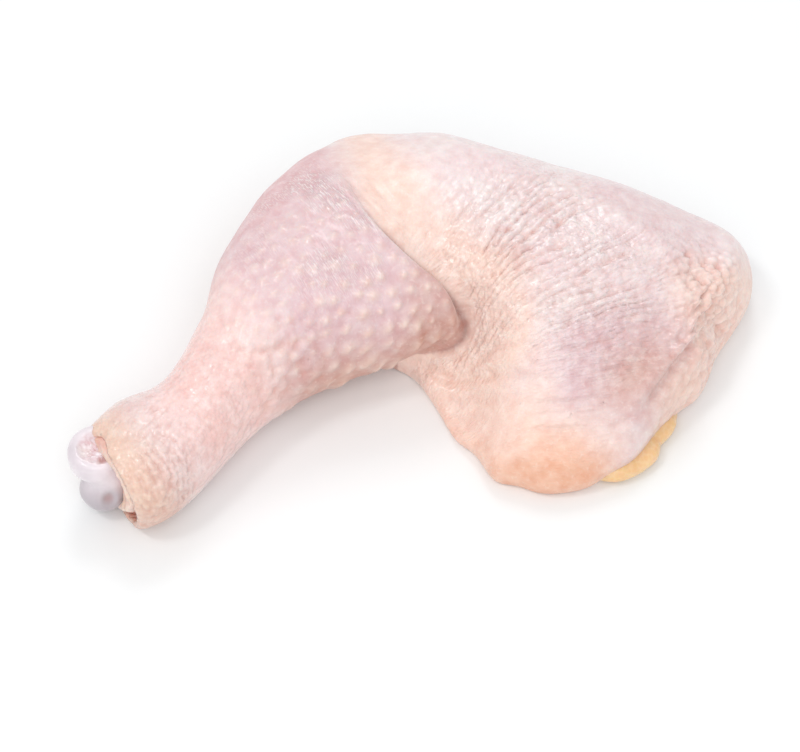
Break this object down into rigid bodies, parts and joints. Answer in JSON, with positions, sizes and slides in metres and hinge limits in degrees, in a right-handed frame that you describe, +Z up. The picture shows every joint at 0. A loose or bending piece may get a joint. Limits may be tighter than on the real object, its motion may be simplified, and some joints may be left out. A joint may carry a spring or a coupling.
{
  "type": "raw chicken leg quarter",
  "caption": "Raw chicken leg quarter with the skin on: a bumpy drumstick folded against a round thigh, with a bare knuckle end and soft fat under the thigh's edge.",
  "frame": {"origin": "middle of the leg's outline, on the surface it lies on", "axes": "+X from the drumstick's knuckle side towards the hip corner of the thigh, along the longest side; +Y towards the knee; +Z up from the surface, with the skin side up"},
  "size_m": [0.1824, 0.1275, 0.0435],
  "materials": {
    "skin": "moist raw skin, pale pink to peach, fine goose bumps",
    "cartilage": "smooth moist cartilage, bluish white",
    "meat": "moist raw meat and membrane, pink",
    "fat": "soft moist yellow fat"
  },
  "bodies": {
    "root": {"leg_quarter": "skin", "knuckle": "cartilage", "shank_meat": "meat", "thigh_fat": "fat"}
  },
  "joints": []
}
